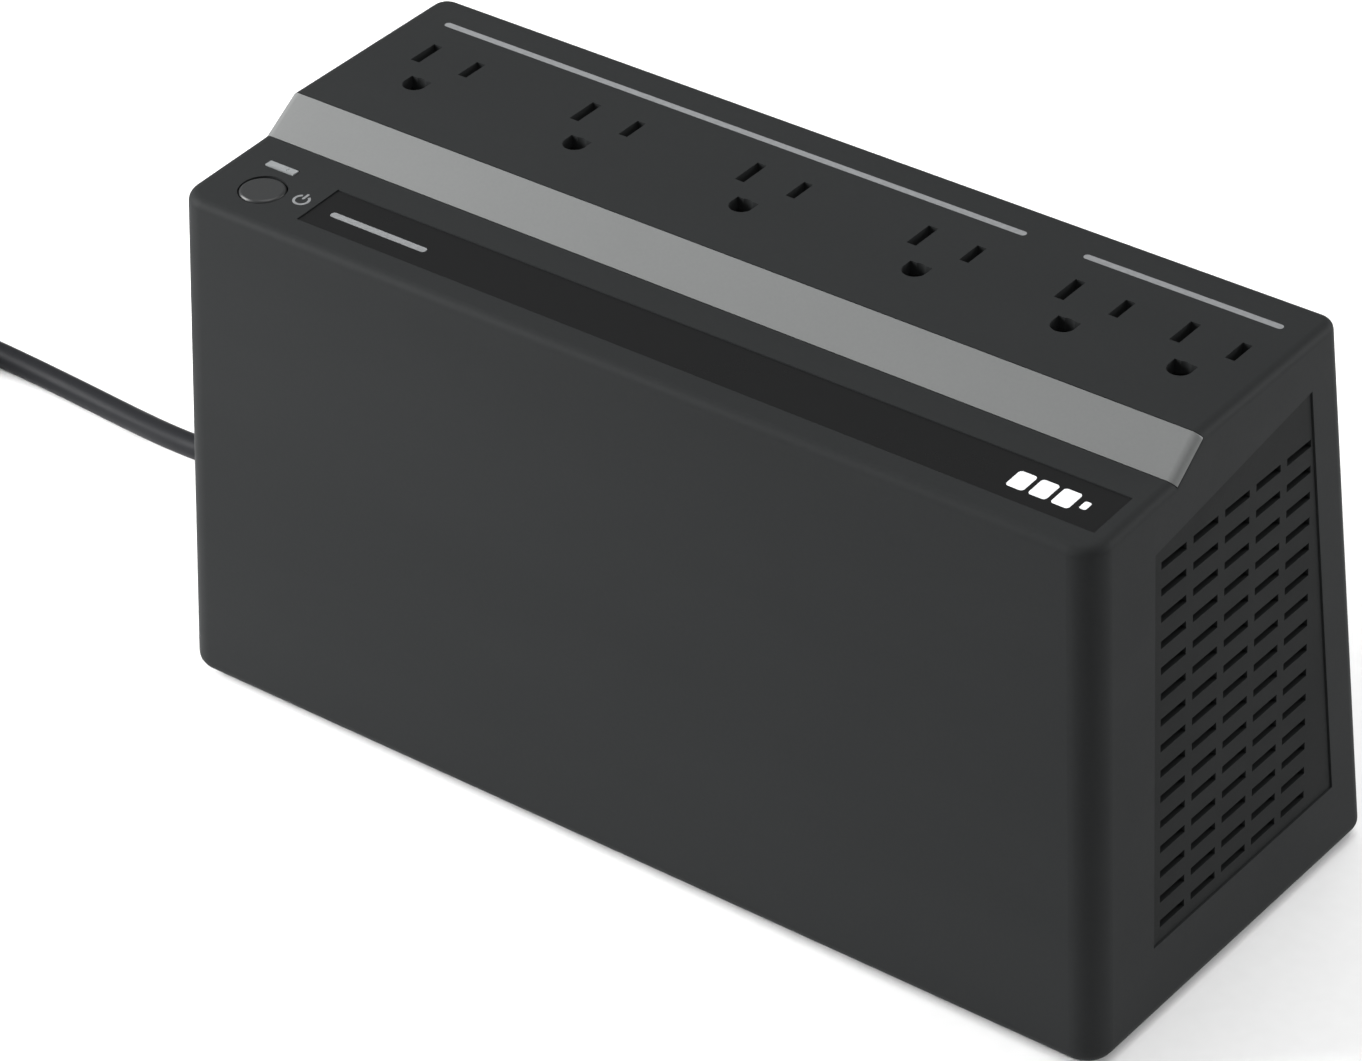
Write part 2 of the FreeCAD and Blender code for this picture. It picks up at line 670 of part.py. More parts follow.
for i, (x, y) in enumerate(BASE_SCREWS, 1):
    plate_tools.append(rod(f"plate_hole_{i}", (x, y, "plate_foot - 1"), "+Z", "1.8", "plate_thick + 2"))
    plate_tools.append(rod(f"plate_bore_{i}", (x, y, "plate_foot - 1"), "+Z", "3.3", "2.8"))
for i, side in enumerate((-1, 1), 1):
    x = f"{side} * keyhole_apart / 2"
    plate_tools.append(rod(f"keyhole_head_{i}", (x, "keyhole_back", "plate_foot - 1"), "+Z", "keyhole_head",
                           "plate_thick + 2"))
    plate_tools.append(block(f"keyhole_neck_{i}", (f"{x} - keyhole_neck", "keyhole_back", "plate_foot - 1"),
                             ("2 * keyhole_neck", "keyhole_slide", "plate_thick + 2")))
    plate_tools.append(rod(f"keyhole_end_{i}", (x, "keyhole_back + keyhole_slide", "plate_foot - 1"), "+Z",
                           "keyhole_neck", "plate_thick + 2"))
FEET = [(f"{across} * foot_across", f"{back} * foot_back") for across in (-1, 1) for back in (-1, 1)]
for i, (x, y) in enumerate(FEET, 1):
    plate_tools.append(rod(f"foot_seat_{i}", (x, y, "plate_foot - 1"), "+Z", "foot_radius + 0.1", "1.8"))
for i in range(7):
    x = f"{-30 + 8 * i}"
    plate_tools.append(block(f"plate_vent_{i + 1}", (x, "-30", "plate_foot - 1"),
                             ("3", "26", "plate_thick + 2")))
plate_ribbed = join("plate_ribbed", [plate_rounded] + ribs)
plate_cut = cut("plate_cut", plate_ribbed, plate_tools)
frame_pilots = [rod(f"frame_pilot_{i}", (x, y, f"{PLATE_TOP} - 1.5"), "+Z", "1.52", "6")
                for i, (x, y) in enumerate(FRAME_SCREWS, 1)]
node(cut("base_plate", plate_cut, frame_pilots), "base_plate")
screws("base_screws", BASE_SCREWS, "plate_foot + 0.2", "3", "1.6", "1.5", "9.6")
feet = []
for i, (x, y) in enumerate(FEET, 1):
    foot_disc = rod(f"foot_disc_{i}", (x, y, "0"), "+Z", "foot_radius", "plate_foot + 0.8")
    feet.append(rounded(f"foot_{i}", foot_disc, "0.5", level_at(0)))
node(group("rubber_feet", feet), "rubber_feet")

# The battery, its pads, terminals and leads

battery_top = "battery_foot + battery_height"
battery_box = block("battery_box", ("battery_left", "battery_front", "battery_foot"),
                    ("battery_length", "battery_depth", "battery_height - 7.2"))
node(rounded("battery_case", battery_box, "2", upright), "battery_case")
battery_lid_box = block("battery_lid_box", ("battery_left", "battery_front", f"{battery_top} - 7"),
                        ("battery_length", "battery_depth", "7"))
battery_lid = rounded("battery_lid_corners", battery_lid_box, "2", lambda edge: edge.BoundBox.ZLength > 5)
node(rounded("battery_cover", battery_lid, "1", level_at(number(battery_top))), "battery_cover")
TABS = {"plus": "battery_left + 12", "minus": "battery_left + battery_length - 12"}
TAB_BACK = "-18"
tabs = []
for name, x in TABS.items():
    foot = block(f"tab_foot_{name}", (f"{x} - 3", f"{TAB_BACK} - 2.4", battery_top), ("6", "4.8", "0.8"))
    blade = block(f"tab_blade_{name}", (f"{x} - 0.4", f"{TAB_BACK} - 2.4", battery_top), ("0.8", "4.8", "6"))
    tabs.append(join(f"tab_{name}", [foot, blade]))
node(group("battery_terminals", tabs), "battery_terminals")
pad_places = (("battery_left + 6", "26"), ("battery_left + battery_length - 32", "26"))
pads = [block(f"pad_{i}", (x, "battery_front + 4", PLATE_TOP),
              (wide, "battery_depth - 8", f"battery_foot - {PLATE_TOP}"))
        for i, (x, wide) in enumerate(pad_places, 1)]
node(group("battery_pads", pads), "battery_pads")


def tube(label, points, radius):
    """A round lead along straight runs joined by arcs that leave and meet the runs smoothly."""
    points = [Vector(*p) for p in points]
    edges, last, radii = [], points[0], []
    for before, here, after in zip(points, points[1:], points[2:]):
        back, on = before - here, after - here
        run = min(back.Length, on.Length)
        back.normalize()
        on.normalize()
        half = (math.pi - back.getAngle(on)) / 2
        reach = 0.45 * run
        radii.append(reach / math.tan(half))
        start, end = here + back * reach, here + on * reach
        bisector = (back + on).normalize()
        middle = here + bisector * (radii[-1] / math.cos(half) - radii[-1])
        edges.append(Part.LineSegment(last, start).toShape())
        edges.append(Part.Arc(start, middle, end).toShape())
        last = end
    edges.append(Part.LineSegment(last, points[-1]).toShape())
    path = Part.Wire(edges)
    ring = Part.Wire(Part.makeCircle(radius, points[0], points[1] - points[0]))
    solid = path.makePipeShell([ring], True, True)
    thing = doc.addObject("Part::Feature", label)
    thing.Shape = solid
    expected = math.pi * radius ** 2 * path.Length
    print(f"{label}: length {path.Length:.1f}, volume {solid.Volume:.0f} of {expected:.0f}, "
          f"smallest radius {min(radii):.1f}")
    return thing


LEAD_RADIUS = 1.2
tab_y = number(TAB_BACK)
plus_x, minus_x = number(TABS["plus"]), number(TABS["minus"])
receptacles = []
for name, x in TABS.items():
    sleeve = block(f"receptacle_{name}", (f"{x} - 1.7", f"{TAB_BACK} - 3.8", f"{battery_top} + 1"),
                   ("3.4", "7.6", "6.6"))
    bore = block(f"receptacle_bore_{name}", (f"{x} - 0.45", f"{TAB_BACK} - 2.5", f"{battery_top} + 0.5"),
                 ("0.9", "5", "5.6"))
    receptacles.append(cut(f"receptacle_piece_{name}", sleeve, [bore]))
node(group("lead_receptacles", receptacles), "lead_receptacles")
lead_top = number(battery_top) + 7.6
board_face = number("board_front") - 0.3
red_route = [
    (plus_x, tab_y, lead_top),
    (plus_x - 1.5, tab_y - 0.5, lead_top + 4.5),
    (plus_x - 8, tab_y - 1, lead_top + 5.2),
    (plus_x - 15, tab_y, lead_top + 1),
    (plus_x - 17.5, tab_y + 4, lead_top - 8),
    (plus_x - 18.5, tab_y + 14, lead_top - 20),
    (plus_x - 19.5, tab_y + 30, lead_top - 26),
    (plus_x - 20, board_face - 6, lead_top - 27),
    (plus_x - 20.2, board_face, lead_top - 27.2),
]
black_route = [
    (minus_x, tab_y, lead_top),
    (minus_x - 1.5, tab_y - 0.5, lead_top + 4.5),
    (minus_x - 9, tab_y - 3, lead_top + 5.2),
    (minus_x - 22, tab_y - 5.5, lead_top + 4.4),
    (minus_x - 38, tab_y - 6.5, lead_top + 4),
    (minus_x - 56, tab_y - 6, lead_top + 4.2),
    (minus_x - 72, tab_y - 5, lead_top + 3),
    (minus_x - 85, tab_y - 2, lead_top - 3),
    (minus_x - 90, tab_y + 6, lead_top - 14),
    (minus_x - 92, tab_y + 18, lead_top - 24),
    (minus_x - 93, tab_y + 34, lead_top - 28),
    (minus_x - 93.4, board_face, lead_top - 29),
]
node(tube("battery_lead_plus", red_route, LEAD_RADIUS), "battery_lead_plus")
node(tube("battery_lead_minus", black_route, LEAD_RADIUS), "battery_lead_minus")

# The transformer: laminated core, wound coil, steel frame and its screws

core_left = "(core_middle - core_length / 2)"
core_blank = block("core_blank", (core_left, "core_front", "core_foot"),
                   ("core_length", "core_depth", "core_height"))
core_windows = [block(f"core_window_{i}", (f"{core_left} + {x}", "core_front - 1", "core_foot + 11"),
                      ("11", "core_depth + 2", "33")) for i, x in enumerate(("11", "44"), 1)]
node(cut("transformer_core", core_blank, core_windows), "transformer_core")
coil_blank = block("coil_blank", ("core_middle - 21.6", "core_front - 10", "core_foot + 11.4"),
                   ("43.2", "core_depth + 20", "32.2"))
coil_soft = rounded("coil_soft", coil_blank, "5", lambda edge: edge.BoundBox.ZLength > 20)
coil_leg = block("coil_leg", ("core_middle - 11.2", "core_front - 0.3", "core_foot"),
                 ("22.4", "core_depth + 0.6", "core_height"))
node(cut("transformer_coil", coil_soft, [coil_leg]), "transformer_coil")
frame_outer = block("frame_outer", (f"{core_left} - 1.7", "core_front + 3", "core_foot - 1.5"),
                    ("core_length + 3.4", "core_depth - 6", "core_height + 3.2"))
frame_inner = block("frame_inner", (f"{core_left} - 0.2", "core_front", "core_foot - 3"),
                    ("core_length + 0.4", "core_depth", "core_height + 3.2"))
frame_feet = [block(f"frame_foot_{i}", (x, "core_front + 9", "core_foot - 1.5"), ("10", "16", "1.5"))
              for i, x in enumerate((f"{core_left} - 11.5", f"{core_left} + core_length + 1.5"), 1)]
frame_holes = [rod(f"frame_hole_{i}", (x, y, "core_foot - 4"), "+Z", "1.7", "8")
               for i, (x, y) in enumerate(FRAME_SCREWS, 1)]
frame_bent = join("frame_bent", [cut("frame_channel", frame_outer, [frame_inner])] + frame_feet)
node(cut("transformer_frame", frame_bent, frame_holes), "transformer_frame")
frame_screw_pieces = []
for i, (x, y) in enumerate(FRAME_SCREWS, 1):
    head = rod(f"frame_screw_head_{i}", (x, y, "core_foot"), "+Z", "3", "2")
    shank = rod(f"frame_screw_shank_{i}", (x, y, f"{PLATE_TOP} - 1"), "+Z", "1.5",
                f"core_foot + 1 - ({PLATE_TOP})")
    frame_screw_pieces.append(join(f"frame_screw_{i}", [head, shank]))
node(group("transformer_screws", frame_screw_pieces), "transformer_screws")

# The main board and what stands on it

node(block("main_board", ("board_left", "board_front", "board_foot"),
           ("board_length", "board_thick", "board_height")), "main_board")
sink_base = block("sink_base", ("board_left + 8", "board_front - 4.2", "board_foot + 62"), ("58", "2.4", "26"))
fins = [block(f"sink_fin_{i + 1}", (f"board_left + 8 + {i} * 8.15", "board_front - 18", "board_foot + 62"),
              ("1", "14.4", "26"))
        for i in range(8)]
node(join("heat_sink", [sink_base] + fins), "heat_sink")
transistors = []
for i in range(4):
    low = (f"board_left + {13 + 13 * i}", "board_front - 1.7", "board_foot + 66")
    transistors.append(block(f"transistor_{i + 1}", low, ("10", "1.7", "15")))
node(group("power_transistors", transistors), "power_transistors")
relay_bodies = []
for i in range(2):
    low = (f"board_left + {72 + 18.5 * i}", "board_front - 15.4", "board_foot + 66")
    relay_bodies.append(block(f"relay_{i + 1}", low, ("15.4", "15.4", "19")))
node(group("transfer_relays", relay_bodies), "transfer_relays")
capacitors = [rod(f"capacitor_{i + 1}", (f"board_left + 80 + {i} * 20", "board_front", "board_foot + 50"),
                  "-Y", "7.8", "16")
              for i in range(2)]
node(group("filter_capacitors", capacitors), "filter_capacitors")
varistors = [rod(f"varistor_{i + 1}", (f"board_left + 70 + {i} * 9", "board_front - 9", "board_foot + 26"),
                 "+X", "7", "4.4")
             for i in range(3)]
node(group("surge_varistors", varistors), "surge_varistors")
buzzer = rod("alarm_buzzer", ("board_left + 104", "board_front", "board_foot + 22"), "-Y", "6", "8.5")
node(buzzer, "alarm_buzzer")

# The circuit breaker with its reset button on the left end

BREAKER = ("breaker_back", "breaker_up")
face = end_at("breaker_up")
breaker_case = block("breaker_case", (f"-{face} + wall + 1.8", "breaker_back - 6.2", "breaker_up - 16"),
                     ("25", "12.4", "32"))
breaker_neck = rod("breaker_neck", (f"-{face} - 0.6", *BREAKER), "+X", "breaker_radius", "wall + 3")
breaker_rim = rod("breaker_rim", (f"-{face} - 0.55", *BREAKER), "-X", "breaker_bezel", "0.9")
breaker_bore = rod("breaker_bore", (f"-{face} - 8", *BREAKER), "+X", "breaker_cap + 0.35", "17.5")
breaker_solid = join("breaker_solid", [breaker_case, breaker_neck, breaker_rim])
node(cut("breaker_body", breaker_solid, [breaker_bore]), "breaker_body")
breaker_rod = rod("breaker_cap_rod", (f"-{face} - 1.7", *BREAKER), "+X", "breaker_cap", "7")
breaker_tip = number(f"-{face} - 1.2")
breaker_round = rounded("breaker_button", breaker_rod, "0.5", lambda edge: edge.BoundBox.XMax < breaker_tip)
node(breaker_round, "breaker_button")

# The mains cord: bushing, lead, put-away coil with its tie, tail and plug

exit_face = end_at("cord_up")
BUSH = ("cord_back", "cord_up")
bush_parts = [
    rod("bush_flange", (f"-{exit_face} + wall + 0.5", *BUSH), "+X", "5.6", "2.4"),
    rod("bush_shank", (f"-{exit_face} - 1", *BUSH), "+X", "bush_neck", "wall + 2"),
    rod("bush_collar", (f"-{exit_face} - 0.5", *BUSH), "-X", "6.6", "2.4"),
    taper("bush_sleeve", (f"-{exit_face} - 2.5", *BUSH), "-X", "5.4", "4.0", "26"),
]
BUSH_TIP = number(f"-{exit_face} - 28.5")
bush_grooves = []
for i in range(5):
    outer = rod(f"bush_groove_{i}", (f"-{exit_face} - 8 - {i} * 4", *BUSH), "-X", "8", "1.4")
    inner = rod(f"bush_core_{i}", (f"-{exit_face} - 7 - {i} * 4", *BUSH), "-X", "3.8", "3.4")
    bush_grooves.append(cut(f"bush_ring_{i}", outer, [inner]))
node(cut("cord_bushing", join("bush_solid", bush_parts), bush_grooves), "cord_bushing")

COIL_X, COIL_Y = number("coil_across"), number("coil_back")
CORD_RADIUS = number("cord_radius")
lead_route = [
    (BUSH_TIP - 0.25, number("cord_back"), number("cord_up")),
    (-166.0, 7.1, 9.9),
    (-182.0, 9.2, 7.8),
    (-200.0, 13.3, 5.0),
    (-221.0, 16.4, 3.6),
    (-241.0, 17.6, 3.7),
    (-258.0, 18.0, 3.8),
    (COIL_X + 17.8, COIL_Y + 44.5, 4.0),
]
tail_route = [
    (COIL_X - 44.5, COIL_Y + 2.0, 10.4),
    (COIL_X - 45.6, COIL_Y - 14.0, 9.8),
    (COIL_X - 45.0, COIL_Y - 31.0, 6.2),
    (COIL_X - 37.0, COIL_Y - 46.5, 4.0),
    (COIL_X - 23.0, COIL_Y - 57.5, 4.4),
    (COIL_X - 7.0, COIL_Y - 62.5, 7.4),
    (COIL_X + 7.0, COIL_Y - 63.5, 9.4),
    (COIL_X + 18.0, COIL_Y - 63.5, 10.2),
]
node(tube("power_cord", lead_route, CORD_RADIUS), "power_cord")
node(tube("cord_tail", tail_route, CORD_RADIUS), "cord_tail")
coil_disc = rod("coil_disc", ("coil_across", "coil_back", "coil_foot"), "+Z", "coil_outer", "coil_height")
coil_eye = rod("coil_eye", ("coil_across", "coil_back", "coil_foot - 1"), "+Z", "coil_inner", "coil_height + 2")
coil_ring = cut("coil_ring", coil_disc, [coil_eye])
node(rounded("cord_coil", coil_ring, "3", lambda edge: edge.BoundBox.ZLength < 0.1), "cord_coil")
tie_outer = block("tie_outer", ("coil_across + coil_inner - 1.2", "coil_back - 4", "0"),
                  ("coil_outer - coil_inner + 2.4", "8", "coil_height + 2"))
tie_inner = block("tie_inner", ("coil_across + coil_inner - 0.4", "coil_back - 5", "0.8"),
                  ("coil_outer - coil_inner + 0.8", "10", "coil_height + 0.4"))
node(cut("coil_tie", tie_outer, [tie_inner]), "coil_tie")

PLUG_X = "(coil_across + 18)"
PLUG_BACK = "(coil_back - 63.5)"
plug_neck = taper("plug_neck", (PLUG_X, PLUG_BACK, "10.2"), "+X", "4.4", "6.4", "17")
plug_blank = block("plug_blank", (f"{PLUG_X} + 16", f"{PLUG_BACK} - 13", "0.2"), ("24", "26", "20.6"))
plug_soft = rounded("plug_soft", plug_blank, "4", lambda edge: edge.BoundBox.XLength > 20)
plug_face = block("plug_face", (f"{PLUG_X} + 36", f"{PLUG_BACK} - 14", "0.1"), ("4", "28", "21"))
plug_round = rounded("plug_round", plug_face, "5", lambda edge: edge.BoundBox.XLength > 3)
node(join("plug_body", [plug_neck, plug_soft, plug_round]), "plug_body")
BLADE_START = f"{PLUG_X} + 40"
blades = [block(f"plug_blade_{i}", (BLADE_START, f"{PLUG_BACK} + {side} * blade_apart / 2 - 0.75", "11.6"),
                ("16", "1.5", "6.3"))
          for i, side in enumerate((-1, 1), 1)]
node(group("plug_blades", blades), "plug_blades")
pin = rod("plug_pin_bar", (BLADE_START, PLUG_BACK, "14.7 - ground_ahead + 2.4"), "+X", "2.3", "19")
pin_tip = number(f"{BLADE_START} + 18.5")
node(rounded("plug_ground_pin", pin, "1.5", lambda edge: edge.BoundBox.XMin > pin_tip), "plug_ground_pin")

# Every object is sound before anything is written.

doc.recompute()
faults = [thing.Name for thing in doc.Objects if {"Invalid", "Error"} & set(thing.State)]
faults += [thing.Label for thing in NODES if thing.Shape.isNull() or not thing.Shape.isValid()]
if faults:
    raise SystemExit("failed objects: " + ", ".join(faults))
os.makedirs("parts", exist_ok=True)
for thing in NODES:
    thing.Shape.exportStep(f"parts/{thing.Label}.step")
box = Part.makeCompound([thing.Shape for thing in NODES]).BoundBox
print(f"{len(NODES)} sub-parts, {box.XLength:.1f} x {box.YLength:.1f} x {box.ZLength:.1f} with the cord")
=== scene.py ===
"""Looks of a small uninterruptible power supply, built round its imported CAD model."""
import math

import bmesh
import bpy
from mathutils import Matrix, Vector


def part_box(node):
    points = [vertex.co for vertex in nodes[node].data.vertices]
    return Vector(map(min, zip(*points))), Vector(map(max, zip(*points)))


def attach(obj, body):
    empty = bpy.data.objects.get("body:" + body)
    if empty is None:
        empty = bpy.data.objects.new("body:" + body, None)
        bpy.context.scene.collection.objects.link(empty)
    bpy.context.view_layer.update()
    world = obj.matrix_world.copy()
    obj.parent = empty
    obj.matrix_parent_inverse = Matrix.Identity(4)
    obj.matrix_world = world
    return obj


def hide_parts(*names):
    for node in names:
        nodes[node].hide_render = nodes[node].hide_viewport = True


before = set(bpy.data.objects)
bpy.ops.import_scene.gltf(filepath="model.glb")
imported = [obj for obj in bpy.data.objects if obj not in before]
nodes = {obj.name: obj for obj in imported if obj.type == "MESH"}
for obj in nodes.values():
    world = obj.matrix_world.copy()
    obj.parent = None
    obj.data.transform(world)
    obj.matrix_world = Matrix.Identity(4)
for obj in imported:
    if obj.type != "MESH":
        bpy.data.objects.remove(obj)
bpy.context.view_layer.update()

MM = 0.001
CASE_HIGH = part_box("case_housing")[1]
COIL_LOW, COIL_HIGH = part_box("cord_coil")
PLUG_LOW, PLUG_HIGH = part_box("plug_body")
BUSHING_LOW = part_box("cord_bushing")[0]


# Camera

CAMERA_PLACE = Vector((0.5746, -0.7840, 0.7018))
CAMERA_YAW = -37.29
CAMERA_PITCH = 33.52
CAMERA_ROLL = -0.39
LENS_LENGTH = 142.41
SENSOR = 36.0
NEAREST, FARTHEST = 0.05, 20


def make_camera():
    data = bpy.data.cameras.new("camera")
    data.lens = LENS_LENGTH
    data.sensor_width = SENSOR
    data.clip_start, data.clip_end = NEAREST, FARTHEST
    camera = bpy.data.objects.new("camera", data)
    bpy.context.scene.collection.objects.link(camera)
    yaw, pitch, roll = (math.radians(a) for a in (CAMERA_YAW, CAMERA_PITCH, CAMERA_ROLL))
    right = Vector((math.cos(yaw), -math.sin(yaw), 0))
    ahead = Vector((math.sin(yaw) * math.cos(pitch), math.cos(yaw) * math.cos(pitch), -math.sin(pitch)))
    up = right.cross(ahead)
    turned = math.cos(roll) * right + math.sin(roll) * up
    upright = math.cos(roll) * up - math.sin(roll) * right
    axes = Matrix((turned, upright, -ahead)).transposed()
    camera.matrix_world = Matrix.Translation(CAMERA_PLACE) @ axes.to_4x4()
    bpy.context.scene.camera = camera


make_camera()


# Shader parts

def shader(name, metallic=0.0, specular=0.5, coat=0.0, transmission=0.0):
    """A material with only its surface shader so far, and the sockets that are the same all over."""
    made = bpy.data.materials.new(name)
    made.use_nodes = True
    surface = made.node_tree.nodes["Principled BSDF"]
    surface.inputs["Metallic"].default_value = metallic
    surface.inputs["Specular IOR Level"].default_value = specular
    surface.inputs["Coat Weight"].default_value = coat
    surface.inputs["Transmission Weight"].default_value = transmission
    return made, made.node_tree, surface


def place_of(tree, stretch=(1, 1, 1)):
    """The point on the object, in metres, stretched along the axes."""
    place = tree.nodes.new("ShaderNodeTexCoord")
    mapping = tree.nodes.new("ShaderNodeMapping")
    mapping.inputs["Scale"].default_value = stretch
    tree.links.new(place.outputs["Object"], mapping.inputs["Vector"])
    return mapping.outputs["Vector"]


def noise(tree, scale, detail=3.0, roughness=0.5, stretch=(1, 1, 1), distortion=0.0):
    made = tree.nodes.new("ShaderNodeTexNoise")
    made.inputs["Scale"].default_value = scale
    made.inputs["Detail"].default_value = detail
    made.inputs["Roughness"].default_value = roughness
    made.inputs["Distortion"].default_value = distortion
    tree.links.new(place_of(tree, stretch), made.inputs["Vector"])
    return made.outputs["Fac"]


def spread(tree, value, low, high, start=0.3, end=0.7):
    """A value that runs from start to end, spread from low to high."""
    made = tree.nodes.new("ShaderNodeMapRange")
    for name, number in (("From Min", start), ("From Max", end), ("To Min", low), ("To Max", high)):
        made.inputs[name].default_value = number
    tree.links.new(value, made.inputs["Value"])
    return made.outputs["Result"]


def blend_colours(tree, value, first, second):
    made = tree.nodes.new("ShaderNodeMix")
    made.data_type = "RGBA"
    tree.links.new(value, made.inputs["Factor"])
    for socket, colour in (("A", first), ("B", second)):
        target = [s for s in made.inputs if s.name == socket and s.type == "RGBA"][0]
        if isinstance(colour, bpy.types.NodeSocket):
            tree.links.new(colour, target)
        else:
            target.default_value = (*colour, 1)
    return [s for s in made.outputs if s.type == "RGBA"][0]


def calculate(tree, operation, first, second):
    made = tree.nodes.new("ShaderNodeMath")
    made.operation = operation
    for i, value in enumerate((first, second)):
        if isinstance(value, bpy.types.NodeSocket):
            tree.links.new(value, made.inputs[i])
        else:
            made.inputs[i].default_value = value
    return made.outputs["Value"]


def raise_surface(tree, surface, height, distance, strength=1.0):
    """Bump from a height between 0 and 1, distance metres high."""
    made = tree.nodes.new("ShaderNodeBump")
    made.inputs["Distance"].default_value = distance
    made.inputs["Strength"].default_value = strength
    tree.links.new(height, made.inputs["Height"])
    tree.links.new(made.outputs["Normal"], surface.inputs["Normal"])


# Materials

def moulded(name, dark, light, rough=(0.4, 0.5), grain=2600, grain_high=0.012, specular=0.5, coat=0.0):
    """Moulded plastic or rubber: a spark-eroded grain, faint flow marks and a slightly uneven gloss."""
    made, tree, surface = shader(name, specular=specular, coat=coat)
    flow = noise(tree, 14, detail=4, stretch=(0.35, 1, 1.6))
    speck = noise(tree, grain * 0.45, detail=1)
    flow_part = calculate(tree, "MULTIPLY", flow, 0.7)
    speck_part = calculate(tree, "MULTIPLY", speck, 0.3)
    cloud = calculate(tree, "ADD", flow_part, speck_part)
    tree.links.new(blend_colours(tree, spread(tree, cloud, 0, 1), dark, light), surface.inputs["Base Color"])
    wear = noise(tree, 60, detail=5, roughness=0.6)
    tree.links.new(spread(tree, wear, rough[0], rough[1]), surface.inputs["Roughness"])
    raise_surface(tree, surface, noise(tree, grain, detail=2, roughness=0.65), grain_high * MM)
    return made


def metal(name, dark, light, rough=(0.22, 0.4), stretch=(1, 1, 1), scale=900, high=0.004):
    """Plain or plated metal with a drawn or tumbled surface."""
    made, tree, surface = shader(name, metallic=1.0)
    lines = noise(tree, scale, detail=4, stretch=stretch)
    stain = noise(tree, 70, detail=5, roughness=0.6)
    tree.links.new(blend_colours(tree, spread(tree, stain, 0, 1), dark, light), surface.inputs["Base Color"])
    tree.links.new(spread(tree, lines, rough[0], rough[1]), surface.inputs["Roughness"])
    raise_surface(tree, surface, lines, high * MM)
    return made


def layered(name, dark, light, pitch, axis, rough=0.45):
    """Thin sheets stacked along an axis, as in a transformer's core."""
    made, tree, surface = shader(name, metallic=0.8)
    split = tree.nodes.new("ShaderNodeSeparateXYZ")
    tree.links.new(place_of(tree), split.inputs["Vector"])
    turns = calculate(tree, "MULTIPLY", split.outputs[axis], 2 * math.pi / pitch)
    sheets = calculate(tree, "SINE", turns, 0)
    patchy = calculate(tree, "ADD", sheets, noise(tree, 90, detail=4))
    tree.links.new(blend_colours(tree, spread(tree, patchy, 0, 1, -0.8, 1.6), dark, light),
                   surface.inputs["Base Color"])
    tree.links.new(spread(tree, noise(tree, 300), rough - 0.08, rough + 0.12), surface.inputs["Roughness"])
    raise_surface(tree, surface, spread(tree, sheets, 0, 1, -1, 1), 0.05 * MM)
    return made


TAPE_LAP = 0.0085
TAPE_DARK, TAPE_LIGHT = (0.5, 0.36, 0.05), (0.75, 0.6, 0.16)


def tape(name):
    """Polyester tape wound round the coil, each turn lapping the last."""
    made, tree, surface = shader(name, specular=0.6, coat=0.25)
    split = tree.nodes.new("ShaderNodeSeparateXYZ")
    tree.links.new(place_of(tree), split.inputs["Vector"])
    laps = calculate(tree, "FRACT", calculate(tree, "MULTIPLY", split.outputs["Z"], 1 / TAPE_LAP), 0)
    shade = calculate(tree, "ADD", laps, calculate(tree, "MULTIPLY", noise(tree, 130, detail=4), 0.7))
    tree.links.new(blend_colours(tree, spread(tree, shade, 0, 1, 0.2, 1.6), TAPE_DARK, TAPE_LIGHT),
                   surface.inputs["Base Color"])
    tree.links.new(spread(tree, noise(tree, 400), 0.22, 0.38), surface.inputs["Roughness"])
    raise_surface(tree, surface, laps, 0.12 * MM)
    return made


MASK_DARK, MASK_LIGHT, TRACK = (0.012, 0.075, 0.028), (0.02, 0.11, 0.04), (0.035, 0.16, 0.06)
BRICKS = {"Scale": 260, "Mortar Size": 0.06, "Brick Width": 1.8, "Row Height": 0.6}


def board(name):
    """A circuit board: green mask over copper tracks and pads."""
    made, tree, surface = shader(name, specular=0.5, coat=0.2)
    cells = tree.nodes.new("ShaderNodeTexBrick")
    for socket, number in BRICKS.items():
        cells.inputs[socket].default_value = number
    turned = tree.nodes.new("ShaderNodeMapping")
    turned.inputs["Rotation"].default_value = (math.radians(90), 0, 0)
    tree.links.new(place_of(tree), turned.inputs["Vector"])
    tree.links.new(turned.outputs["Vector"], cells.inputs["Vector"])
    mask = noise(tree, 120, detail=5, roughness=0.6)
    green = blend_colours(tree, spread(tree, mask, 0, 1), MASK_DARK, MASK_LIGHT)
    tree.links.new(blend_colours(tree, cells.outputs["Fac"], green, TRACK), surface.inputs["Base Color"])
    tree.links.new(spread(tree, mask, 0.28, 0.42), surface.inputs["Roughness"])
    raise_surface(tree, surface, cells.outputs["Fac"], 0.035 * MM)
    return made


def lens(name, colour, rough):
    """A frosted clear moulding that lets light through."""
    made, tree, surface = shader(name, specular=0.5, transmission=0.35)
    cloud = noise(tree, 500, detail=3)
    tree.links.new(blend_colours(tree, spread(tree, cloud, 0, 1), [c * 0.86 for c in colour], colour),
                   surface.inputs["Base Color"])
    tree.links.new(spread(tree, cloud, rough - 0.06, rough + 0.08), surface.inputs["Roughness"])
    raise_surface(tree, surface, noise(tree, 1800), 0.01 * MM)
    return made


def printed_ink(name, colour):
    """Screen-printed ink: nearly even, with the plastic's grain showing through."""
    made, tree, surface = shader(name, specular=0.4)
    cover = noise(tree, 900, detail=4, roughness=0.6)
    tree.links.new(blend_colours(tree, spread(tree, cover, 0, 1), [c * 0.8 for c in colour], colour),
                   surface.inputs["Base Color"])
    tree.links.new(spread(tree, cover, 0.45, 0.6), surface.inputs["Roughness"])
    raise_surface(tree, surface, noise(tree, 2600), 0.008 * MM)
    return made


